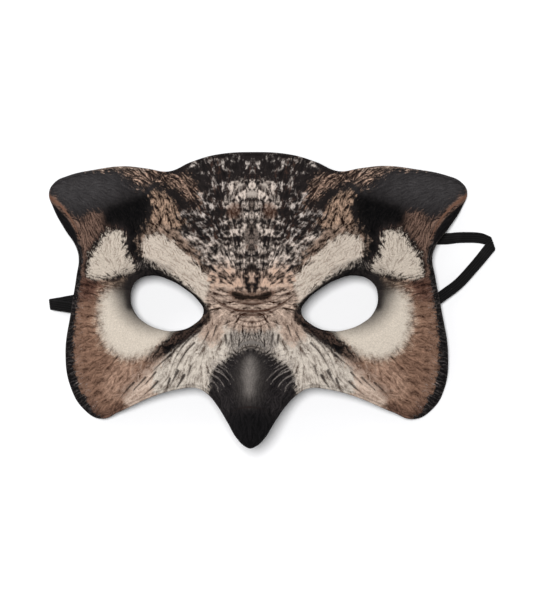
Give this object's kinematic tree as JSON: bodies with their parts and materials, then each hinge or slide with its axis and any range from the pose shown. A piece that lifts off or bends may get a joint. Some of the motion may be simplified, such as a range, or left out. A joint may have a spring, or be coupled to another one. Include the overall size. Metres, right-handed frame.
{
  "type": "owl half mask",
  "caption": "Owl half mask: moulded foam face with printed cloth, eye openings, ear tufts and beak, ribbed black lining, felt patches and a flat elastic strap.",
  "frame": {"origin": "on the surface that the mask lies on, under the middle of its outline", "axes": "+Z points out of the printed face, +Y from the beak to the ear tufts, +X to the right as seen from the front"},
  "size_m": [0.2145, 0.1406, 0.0521],
  "materials": {
    "printed_cloth": "matte printed knit cloth fused to pressed foam",
    "ribbed_cloth": "black cloth with fine ribs across the mask",
    "felt": "black felt",
    "elastic": "black braided elastic with lengthwise cords"
  },
  "bodies": {
    "root": {"printed_face": "printed_cloth", "ribbed_lining": "ribbed_cloth", "left_patch": "felt", "right_patch": "felt", "elastic_strap": "elastic"}
  },
  "joints": []
}
